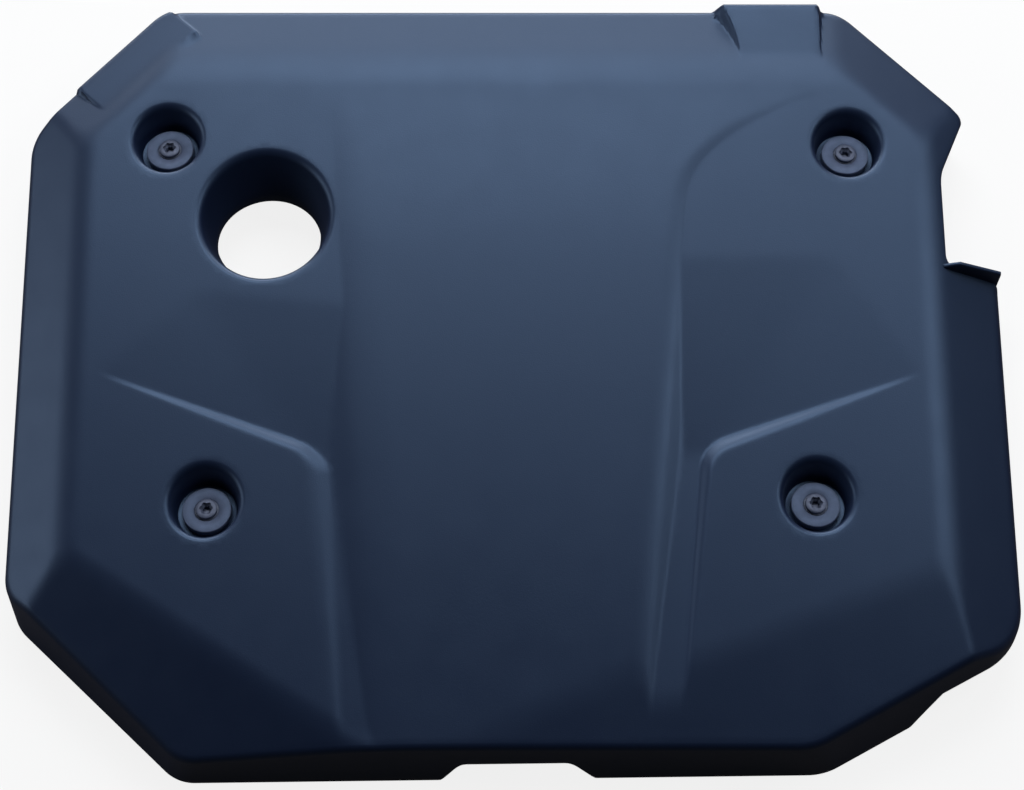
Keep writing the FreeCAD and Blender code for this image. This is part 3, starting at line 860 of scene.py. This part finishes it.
def trimmed_runs(line, boundary, holes, gap):
    """Stretches of a line that stay inside the boundary and out of the holes, clear of both by a gap."""
    tree = kdtree.KDTree(len(boundary) + sum(len(hole) for hole in holes))
    for index, point in enumerate(np.concatenate([boundary, *holes])):
        tree.insert((point[0], point[1], 0.0), index)
    tree.balance()
    clear = inside_ring(line, boundary)
    for hole in holes:
        clear &= ~inside_ring(line, hole)
    clear &= np.array([tree.find((point[0], point[1], 0.0))[2] > gap for point in line])
    runs, run = [], []
    for point, good in zip(line, clear):
        if good:
            run.append(point)
        elif run:
            runs.append(np.array(run))
            run = []
    if run:
        runs.append(np.array(run))
    return [run for run in runs if len(run) > 1]


def sheet_faces(boundary, holes, lines, spacing):
    """Extra plan points and triangles of a sheet between a boundary ring, its holes and the lines in it."""
    gap = spacing * POINT_CLEARANCE
    runs = []
    for line in lines:
        runs += trimmed_runs(line, boundary, holes, gap)
    fixed = np.concatenate([boundary, *holes, *runs])
    tree = kdtree.KDTree(len(fixed))
    for index, point in enumerate(fixed):
        tree.insert((point[0], point[1], 0.0), index)
    tree.balance()
    spare = lattice(boundary, spacing)
    keep = inside_ring(spare, boundary)
    for hole in holes:
        keep &= ~inside_ring(spare, hole)
    spare = spare[keep]
    spare = spare[[tree.find((point[0], point[1], 0.0))[2] > gap for point in spare]]
    points = np.concatenate([fixed, spare])
    links, first = [], 0
    for ring in (boundary, *holes):
        links += [(first + step, first + (step + 1) % len(ring)) for step in range(len(ring))]
        first += len(ring)
    for run in runs:
        links += [(first + step, first + step + 1) for step in range(len(run) - 1)]
        first += len(run)
    result = delaunay_2d_cdt([Vector(point) for point in points], links, [], 1, 1e-6)
    source = [origin[0] for origin in result[3]]
    faces = np.array([[source[corner] for corner in face] for face in result[2]])
    middles = points[faces].mean(axis=1)
    keep = np.ones(len(faces), dtype=bool)
    for hole in holes:
        keep &= ~inside_ring(middles, hole)
    ring_count = len(boundary) + sum(len(hole) for hole in holes)
    return points[ring_count:], faces[keep]


class Skin:
    """Points and faces of a mesh while it is put together."""

    def __init__(self):
        self.points = []
        self.faces = []

    def add(self, points):
        """Add points, and give their numbers."""
        first = len(self.points)
        self.points += [tuple(point) for point in points]
        return list(range(first, first + len(points)))

    def bridge(self, first, second):
        """Join two closed rings of as many points."""
        for index in range(len(first)):
            after = (index + 1) % len(first)
            self.faces.append((first[index], first[after], second[after], second[index]))

    def strip(self, rings):
        """Add a row of closed rings and join them, and give the first and the last ring's numbers."""
        numbers = [self.add(ring) for ring in rings]
        for first, second in zip(numbers, numbers[1:]):
            self.bridge(first, second)
        return numbers[0], numbers[-1]

    def sheet(self, boundary, holes, lines, spacing, height):
        """Fill between rings that are already there with a sheet at a height over the plan."""
        rings = [np.array([self.points[number][:2] for number in ring]) for ring in (boundary, *holes)]
        spare, faces = sheet_faces(rings[0], rings[1:], lines, spacing)
        levels = height(spare[:, 0], spare[:, 1])
        numbers = list(boundary) + [number for hole in holes for number in hole]
        numbers += self.add(np.column_stack((spare, levels)))
        self.faces += [tuple(numbers[corner] for corner in face) for face in faces]


def make_object(name, places, faces, sharp_degrees):
    """Closed smooth mesh object from places in metres and faces."""
    mesh = bpy.data.meshes.new(name)
    mesh.from_pydata([tuple(place) for place in places], [], faces)
    work = bmesh.new()
    work.from_mesh(mesh)
    bmesh.ops.remove_doubles(work, verts=work.verts, dist=1e-6)
    bmesh.ops.dissolve_degenerate(work, edges=work.edges, dist=1e-6)
    bmesh.ops.recalc_face_normals(work, faces=work.faces)
    work.to_mesh(mesh)
    work.free()
    mesh.shade_smooth()
    mesh.set_sharp_from_angle(angle=math.radians(sharp_degrees))
    thing = bpy.data.objects.new(name, mesh)
    bpy.context.scene.collection.objects.link(thing)
    return thing


def end_lip(skin, sizes):
    """Thin lip that stands on the end wall at the front of the cut-away."""
    back = plan_point(CUT_FRONT)[1]
    front = back - LIP_THICKNESS
    edge = ((0.0, LIP_EDGE), (LIP_EDGE_MIDDLE, LIP_EDGE_MIDDLE), (LIP_EDGE, 0.0))
    rings = []
    for u in np.linspace(CUT_FRONT[0] + LIP_GROWTH[0][0], BACK_RIGHT_SIDE[0] - LIP_END_GAP, LIP_SECTIONS):
        foot = float(skin_height(u, front, sizes))
        top = foot + LIP_HEIGHT * np.interp(u - CUT_FRONT[0], *zip(*LIP_GROWTH))
        section = [(front, foot - LIP_ROOT)]
        section += [(front + across, top - down) for across, down in edge]
        section += [(back - across, top - down) for across, down in reversed(edge)]
        section += [(back, foot - LIP_ROOT)]
        rings.append([(u, v, z) for v, z in section])
    skin.faces += [tuple(end) for end in skin.strip(rings)]


def cover_skin(sizes):
    """The moulding's closed skin: top, skirt, wells, collar and underside."""
    skin = Skin()
    top_edge, under_edge = skin.strip(skirt_rings(sizes))
    mouths = [skin.strip(rings) for rings in opening_rings(sizes)]
    spacing = sizes.skin_spacing / MM
    lines = step_lines(spacing) + spine_lines(spacing) + cliff_lines(spacing)
    skin.sheet(top_edge, [mouth[0] for mouth in mouths], lines, spacing,
               lambda u, v: skin_height(u, v, sizes))
    skin.sheet(under_edge, [mouth[1] for mouth in mouths], [], sizes.inside_spacing / MM,
               lambda u, v: ceiling_height(u, v, sizes))
    end_lip(skin, sizes)
    return make_object("cover_skin", in_space(skin.points), skin.faces, sharp_degrees=40.0)


# Turned fittings


def draw_placed(points, place):
    """Places in metres of points (x, y, depth axis) set on the draw axis through a plateau place."""
    points = np.asarray(points, dtype=float)
    x = place[0] + points[:, 0]
    y = place[1] + COSINE * points[:, 1] + SINE * points[:, 2]
    z = PLATEAU - SINE * points[:, 1] + COSINE * points[:, 2]
    return np.column_stack((x, y, z)) * MM


def turned(profile, sides, skin):
    """Add the rings of a turned form from its (radius, height) pairs, where a radius may differ by side."""
    angles = np.linspace(0.0, 2 * math.pi, sides, endpoint=False)
    numbers = []
    for radius, height in profile:
        ring = np.column_stack((radius * np.cos(angles), radius * np.sin(angles), np.full(sides, height)))
        numbers.append(skin.add(ring))
    for first, second in zip(numbers, numbers[1:]):
        skin.bridge(first, second)
    return numbers


def bush_profile(wall):
    """Closed section of a bush, from its bore round both flanges."""
    top = FLANGE_HEIGHT - WELL_DEPTH
    bottom = -WELL_DEPTH - wall - FLANGE_HEIGHT
    low = bottom + FLANGE_HEIGHT
    edge = FLANGE_EDGE
    half_edge = edge * (1 - math.sqrt(0.5))
    seat_edge = FLANGE_SEAT_EDGE
    return [
        (SLEEVE_RADIUS, top - BORE_EDGE), (SLEEVE_RADIUS + BORE_EDGE, top),
        (BUSH_FLANGE - edge, top), (BUSH_FLANGE - half_edge, top - half_edge), (BUSH_FLANGE, top - edge),
        (BUSH_FLANGE, -WELL_DEPTH + seat_edge), (BUSH_FLANGE - seat_edge, -WELL_DEPTH),
        (BUSH_NECK, -WELL_DEPTH), (BUSH_NECK, low),
        (BUSH_FLANGE - seat_edge, low), (BUSH_FLANGE, low - seat_edge), (BUSH_FLANGE, bottom + edge),
        (BUSH_FLANGE - half_edge, bottom + half_edge), (BUSH_FLANGE - edge, bottom),
        (SLEEVE_RADIUS + BORE_EDGE, bottom), (SLEEVE_RADIUS, bottom + BORE_EDGE),
    ]


def sleeve_profile(wall):
    """Closed section of a sleeve with its collar."""
    top = FLANGE_HEIGHT - WELL_DEPTH
    bottom = -WELL_DEPTH - wall - FLANGE_HEIGHT
    foot = bottom - COLLAR_HEIGHT
    edge = SLEEVE_EDGE
    return [
        (SLEEVE_BORE, top - edge), (SLEEVE_BORE + edge, top),
        (SLEEVE_RADIUS - edge, top), (SLEEVE_RADIUS, top - edge),
        (SLEEVE_RADIUS, bottom), (COLLAR_RADIUS - edge, bottom), (COLLAR_RADIUS, bottom - edge),
        (COLLAR_RADIUS, foot + edge), (COLLAR_RADIUS - edge, foot), (SLEEVE_BORE + edge, foot),
        (SLEEVE_BORE, foot + edge),
    ]


def recess_outline(sides):
    """Radius of the six-lobe socket at each side of a turned head."""
    angles = np.linspace(0.0, 2 * math.pi, sides, endpoint=False)
    wave = (1 + np.cos(RECESS_LOBES * angles)) / 2
    return RECESS_RADIUS - RECESS_VALLEY * (1 - wave ** RECESS_FULLNESS)


def screw_rings(wall):
    """Rings of a screw from the floor of its socket over the head and down its threaded shank to the tip."""
    seat = FLANGE_HEIGHT - WELL_DEPTH
    foot = -WELL_DEPTH - wall - FLANGE_HEIGHT - COLLAR_HEIGHT
    thread_top = foot - WAIST_OVERHANG
    tip = foot - FREE_LENGTH
    top = seat + HEAD_HEIGHT
    socket = recess_outline(SCREW_SIDES)
    neck = socket * RECESS_NECK
    rings = [
        (AXIS_RADIUS, top - RECESS_DEPTH), (neck * RECESS_TAPER, top - RECESS_DEPTH), (neck, seat),
        (socket, top - RECESS_WALL), (socket, top - HEAD_EDGE), (socket + HEAD_EDGE, top),
    ]
    flat = RECESS_RADIUS + HEAD_FLAT
    for angle in np.linspace(0.0, math.pi / 2, HEAD_STEPS):
        radius = flat + (HEAD_RADIUS - flat) * math.sin(angle)
        rings.append((radius, seat + HEAD_LIP + (HEAD_HEIGHT - HEAD_LIP) * math.cos(angle)))
    rings += [(HEAD_RADIUS, seat + HEAD_EDGE), (HEAD_RADIUS - HEAD_EDGE, seat)]
    rings += [(SHANK_RADIUS, seat), (SHANK_RADIUS, thread_top)]
    turns = np.linspace(0.0, 1.0, SCREW_SIDES, endpoint=False)
    count = int((thread_top - tip) / THREAD_PITCH * THREAD_STEPS)
    for step in range(1, count):
        height = thread_top + (tip - thread_top) * step / count
        phase = (height / THREAD_PITCH + turns) % 1.0
        ridge = 1 - np.abs(2 * phase - 1)
        fade = min(1.0, step / THREAD_RUN_IN, (count - step) / THREAD_RUN_OUT)
        rings.append((SHANK_RADIUS + (THREAD_RADIUS - SHANK_RADIUS) * ridge * fade, height))
    return rings + [(SHANK_RADIUS - TIP_TAPER, tip), (AXIS_RADIUS, tip)]


# Materials


def shader(name, roughness, specular=0.5):
    """New node material, with its tree, its surface shader and object coordinates."""
    material = bpy.data.materials.new(name)
    material.use_nodes = True
    tree = material.node_tree
    surface = tree.nodes["Principled BSDF"]
    surface.inputs["Roughness"].default_value = roughness
    surface.inputs["Specular IOR Level"].default_value = specular
    coordinates = tree.nodes.new("ShaderNodeTexCoord")
    return material, tree, surface, coordinates.outputs["Object"]


def noise(tree, place, scale, detail):
    """Noise of a scale in waves for each metre."""
    node = tree.nodes.new("ShaderNodeTexNoise")
    node.inputs["Scale"].default_value = scale
    node.inputs["Detail"].default_value = detail
    tree.links.new(place, node.inputs["Vector"])
    return node.outputs["Fac"]


def lightened(colour, gain):
    """Colour made lighter by a gain."""
    return tuple(min(1.0, value * gain) for value in colour)


def ramp(tree, factor, first, second, low, high=NOISE_RANGE[1]):
    """Colour ramp between two colours over part of a factor's range."""
    node = tree.nodes.new("ShaderNodeValToRGB")
    for stop, place, colour in zip(node.color_ramp.elements, (low, high), (first, second)):
        stop.position = place
        stop.color = (*colour, 1.0)
    tree.links.new(factor, node.inputs["Fac"])
    return node.outputs["Color"]


def spread(tree, factor, middle, swing):
    """Noise mapped on to a swing on both sides of a middle value."""
    node = tree.nodes.new("ShaderNodeMapRange")
    node.inputs["From Min"].default_value = NOISE_RANGE[0]
    node.inputs["From Max"].default_value = NOISE_RANGE[1]
    node.inputs["To Min"].default_value = middle - swing
    node.inputs["To Max"].default_value = middle + swing
    tree.links.new(factor, node.inputs["Value"])
    return node.outputs["Result"]


def bump(tree, surface, height, distance, strength):
    """Bump on a surface shader."""
    node = tree.nodes.new("ShaderNodeBump")
    node.inputs["Distance"].default_value = distance
    node.inputs["Strength"].default_value = strength
    tree.links.new(height, node.inputs["Height"])
    tree.links.new(node.outputs["Normal"], surface.inputs["Normal"])


def moulded_plastic(finish):
    """Slate blue satin plastic with a fine moulded grain and faint clouds of shade."""
    material, tree, surface, place = shader("moulded_plastic", finish.cover_roughness, specular=0.8)
    surface.inputs["Specular Tint"].default_value = (*finish.cover_sheen, 1.0)
    clouds = noise(tree, place, scale=9.0, detail=3.0)
    colour = ramp(tree, clouds, finish.cover_shade, finish.cover_colour, low=0.3)
    tree.links.new(colour, surface.inputs["Base Color"])
    satin = spread(tree, noise(tree, place, scale=60.0, detail=4.0), finish.cover_roughness, swing=0.015)
    tree.links.new(satin, surface.inputs["Roughness"])
    bump(tree, surface, noise(tree, place, scale=1700.0, detail=2.0), distance=0.00012, strength=0.35)
    return material


def bush_rubber(finish):
    """Dull rubber with a faint bloom and the cover's sheen."""
    material, tree, surface, place = shader("bush_rubber", roughness=0.55)
    surface.inputs["Specular Tint"].default_value = (*finish.cover_sheen, 1.0)
    bloom = lightened(finish.rubber_colour, gain=1.35)
    colour = ramp(tree, noise(tree, place, scale=220.0, detail=4.0), finish.rubber_colour, bloom, low=0.35)
    tree.links.new(colour, surface.inputs["Base Color"])
    bump(tree, surface, noise(tree, place, scale=1500.0, detail=2.0), distance=0.0001, strength=0.4)
    return material


def plated_steel(name, colour, roughness):
    """Dull plated steel, a little worn, with a fine grain."""
    material, tree, surface, place = shader(name, roughness)
    surface.inputs["Metallic"].default_value = 0.3
    worn = lightened(colour, gain=1.3)
    plating = ramp(tree, noise(tree, place, scale=300.0, detail=5.0), colour, worn, low=0.35)
    tree.links.new(plating, surface.inputs["Base Color"])
    satin = spread(tree, noise(tree, place, scale=700.0, detail=3.0), roughness, swing=0.07)
    tree.links.new(satin, surface.inputs["Roughness"])
    bump(tree, surface, noise(tree, place, scale=2600.0, detail=2.0), distance=0.00005, strength=0.3)
    return material


def pale_floor(colour):
    """Floor that throws back a warm shade, while the camera and glass see white paper with a soft shadow."""
    material = bpy.data.materials.new("pale_floor")
    material.use_nodes = True
    tree = material.node_tree
    surface = tree.nodes["Principled BSDF"]
    surface.inputs["Base Color"].default_value = (*colour, 1.0)
    surface.inputs["Roughness"].default_value = FLOOR_ROUGHNESS
    glow = tree.nodes.new("ShaderNodeEmission")
    glow.inputs["Color"].default_value = (1.0, 1.0, 1.0, 1.0)
    glow.inputs["Strength"].default_value = 1.0
    paper = tree.nodes.new("ShaderNodeBsdfDiffuse")
    paper.inputs["Color"].default_value = FLOOR_PAPER
    white = tree.nodes.new("ShaderNodeMixShader")
    white.inputs["Fac"].default_value = FLOOR_SHADOW
    tree.links.new(glow.outputs["Emission"], white.inputs[1])
    tree.links.new(paper.outputs["BSDF"], white.inputs[2])
    path = tree.nodes.new("ShaderNodeLightPath")
    seen = None
    for ray, share in FLOOR_RAYS.items():
        part = tree.nodes.new("ShaderNodeMath")
        part.operation = "MULTIPLY_ADD"
        part.inputs[1].default_value = share
        part.inputs[2].default_value = 0.0
        tree.links.new(path.outputs[ray], part.inputs[0])
        if seen:
            tree.links.new(seen, part.inputs[2])
        seen = part.outputs["Value"]
    blend = tree.nodes.new("ShaderNodeMixShader")
    tree.links.new(seen, blend.inputs["Fac"])
    tree.links.new(surface.outputs["BSDF"], blend.inputs[1])
    tree.links.new(white.outputs["Shader"], blend.inputs[2])
    tree.links.new(blend.outputs["Shader"], tree.nodes["Material Output"].inputs["Surface"])
    return material


# Operators


def dress(piece, material, slot, *nodes):
    """Give a piece its material and body, and put it in the place of nodes. The slot is not used."""
    piece.data.materials.append(material)
    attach(piece, "root")
    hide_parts(*nodes)


class ENGINECOVER_OT_mould_cover(bpy.types.Operator):
    """Mould the cover's skin in the place of its plain shell"""
    bl_idname = "engine_cover.mould_cover"
    bl_label = "Mould Cover"

    def execute(self, context):
        piece = cover_skin(context.scene.cover_sizes)
        dress(piece, moulded_plastic(context.scene.cover_finish), "moulded_cover", "cover_shell")
        return {"FINISHED"}


class ENGINECOVER_OT_press_bushes(bpy.types.Operator):
    """Press a rubber bush into each well"""
    bl_idname = "engine_cover.press_bushes"
    bl_label = "Press Bushes"

    def execute(self, context):
        material = bush_rubber(context.scene.cover_finish)
        for name in WELLS:
            skin = Skin()
            numbers = turned(bush_profile(context.scene.cover_sizes.wall / MM), BUSH_SIDES, skin)
            skin.bridge(numbers[-1], numbers[0])
            places = draw_placed(skin.points, WELL_PLACES[name])
            piece = make_object(f"bush_{name}", places, skin.faces, sharp_degrees=50.0)
            dress(piece, material, "bush_rubber", f"rubber_grommet_{name}")
        return {"FINISHED"}


class ENGINECOVER_OT_fit_sleeves(bpy.types.Operator):
    """Fit a steel sleeve through each bush"""
    bl_idname = "engine_cover.fit_sleeves"
    bl_label = "Fit Sleeves"

    def execute(self, context):
        material = plated_steel("zinc_plated_steel", context.scene.cover_finish.sleeve_colour, roughness=0.5)
        for name in WELLS:
            skin = Skin()
            numbers = turned(sleeve_profile(context.scene.cover_sizes.wall / MM), SLEEVE_SIDES, skin)
            skin.bridge(numbers[-1], numbers[0])
            places = draw_placed(skin.points, WELL_PLACES[name])
            piece = make_object(f"sleeve_{name}", places, skin.faces, sharp_degrees=30.0)
            dress(piece, material, "sleeve_steel", f"spacer_sleeve_{name}")
        return {"FINISHED"}


class ENGINECOVER_OT_drive_screws(bpy.types.Operator):
    """Drive a six-lobe screw through each sleeve"""
    bl_idname = "engine_cover.drive_screws"
    bl_label = "Drive Screws"

    def execute(self, context):
        places, faces = [], []
        rings = screw_rings(context.scene.cover_sizes.wall / MM)
        for name in WELLS:
            skin = Skin()
            numbers = turned(rings, SCREW_SIDES, skin)
            skin.faces += [tuple(numbers[0]), tuple(numbers[-1])]
            faces += [tuple(corner + len(places) for corner in face) for face in skin.faces]
            places += list(draw_placed(skin.points, WELL_PLACES[name]))
        piece = make_object("screws", places, faces, sharp_degrees=30.0)
        material = plated_steel("dark_plated_steel", context.scene.cover_finish.screw_colour, roughness=0.55)
        dress(piece, material, "screw_steel", "retaining_screws")
        return {"FINISHED"}


class ENGINECOVER_OT_set_stage(bpy.types.Operator):
    """Set the floor, the lights and the camera"""
    bl_idname = "engine_cover.set_stage"
    bl_label = "Set Stage"

    def execute(self, context):
        stage = context.scene.cover_stage
        lay_floor(stage)
        for name, (place, size) in LAMPS.items():
            soft_lamp(f"{name}_lamp", place, size, getattr(stage, f"{name}_light"))
        light_world(context.scene, stage.world_strength)
        aim_camera(context.scene, stage)
        context.scene.view_settings.view_transform = "Standard"
        return {"FINISHED"}


def lay_floor(stage):
    """Large level floor that the rim stands on."""
    corners = [(x * FLOOR_REACH, y * FLOOR_REACH, 0.0) for x, y in ((-1, -1), (1, -1), (1, 1), (-1, 1))]
    mesh = bpy.data.meshes.new("floor")
    mesh.from_pydata(corners, [], [(0, 1, 2, 3)])
    mesh.materials.append(pale_floor(stage.floor_colour))
    floor = bpy.data.objects.new("floor", mesh)
    bpy.context.scene.collection.objects.link(floor)


def aim(thing, place, target):
    """Put a thing at a place, looking at a target."""
    thing.location = place
    thing.rotation_euler = (Vector(target) - Vector(place)).to_track_quat("-Z", "Y").to_euler()


def soft_lamp(name, place, size, power):
    """Large soft lamp that looks at the middle of the cover's rim."""
    lamp = bpy.data.lights.new(name, "AREA")
    lamp.shape = "RECTANGLE"
    lamp.size, lamp.size_y = size
    lamp.energy = power
    lamp.color = LAMP_TINT
    thing = bpy.data.objects.new(name, lamp)
    bpy.context.scene.collection.objects.link(thing)
    aim(thing, place, LAMP_TARGET)


def light_world(scene, strength):
    """Dim even light from all round, white where the camera sees it."""
    world = bpy.data.worlds.new("studio")
    world.use_nodes = True
    tree = world.node_tree
    even = tree.nodes["Background"]
    even.inputs["Color"].default_value = (1.0, 1.0, 1.0, 1.0)
    even.inputs["Strength"].default_value = strength
    white = tree.nodes.new("ShaderNodeBackground")
    white.inputs["Strength"].default_value = 1.0
    path = tree.nodes.new("ShaderNodeLightPath")
    blend = tree.nodes.new("ShaderNodeMixShader")
    tree.links.new(path.outputs["Is Camera Ray"], blend.inputs["Fac"])
    tree.links.new(even.outputs["Background"], blend.inputs[1])
    tree.links.new(white.outputs["Background"], blend.inputs[2])
    tree.links.new(blend.outputs["Shader"], tree.nodes["World Output"].inputs["Surface"])
    scene.world = world


def aim_camera(scene, stage):
    """Camera at the viewing angle."""
    camera = bpy.data.cameras.new("camera")
    camera.lens = stage.lens
    thing = bpy.data.objects.new("camera", camera)
    scene.collection.objects.link(thing)
    aim(thing, stage.camera_place, stage.camera_target)
    scene.camera = thing


class VIEW3D_PT_engine_cover(bpy.types.Panel):
    """Sidebar panel with the cover's pieces, sizes and finish"""
    bl_label = "Engine Cover"
    bl_idname = "VIEW3D_PT_engine_cover"
    bl_space_type = "VIEW_3D"
    bl_region_type = "UI"
    bl_category = "Engine Cover"

    def draw(self, context):
        for step in STEPS:
            self.layout.operator(step.bl_idname)
        for group in (context.scene.cover_sizes, context.scene.cover_finish, context.scene.cover_stage):
            box = self.layout.box()
            for name in group.__annotations__:
                box.prop(group, name)


GROUPS = {"cover_sizes": CoverSizes, "cover_finish": CoverFinish, "cover_stage": StageSettings}
STEPS = (
    ENGINECOVER_OT_mould_cover,
    ENGINECOVER_OT_press_bushes,
    ENGINECOVER_OT_fit_sleeves,
    ENGINECOVER_OT_drive_screws,
    ENGINECOVER_OT_set_stage,
)


def register():
    for name, group in GROUPS.items():
        bpy.utils.register_class(group)
        setattr(bpy.types.Scene, name, bpy.props.PointerProperty(type=group))
    for item in (*STEPS, VIEW3D_PT_engine_cover):
        bpy.utils.register_class(item)


def unregister():
    for item in (VIEW3D_PT_engine_cover, *reversed(STEPS)):
        bpy.utils.unregister_class(item)
    for name, group in GROUPS.items():
        delattr(bpy.types.Scene, name)
        bpy.utils.unregister_class(group)


def main():
    register()
    bpy.ops.engine_cover.mould_cover()
    bpy.ops.engine_cover.press_bushes()
    bpy.ops.engine_cover.fit_sleeves()
    bpy.ops.engine_cover.drive_screws()
    bpy.ops.engine_cover.set_stage()


if __name__ == "__main__":
    main()
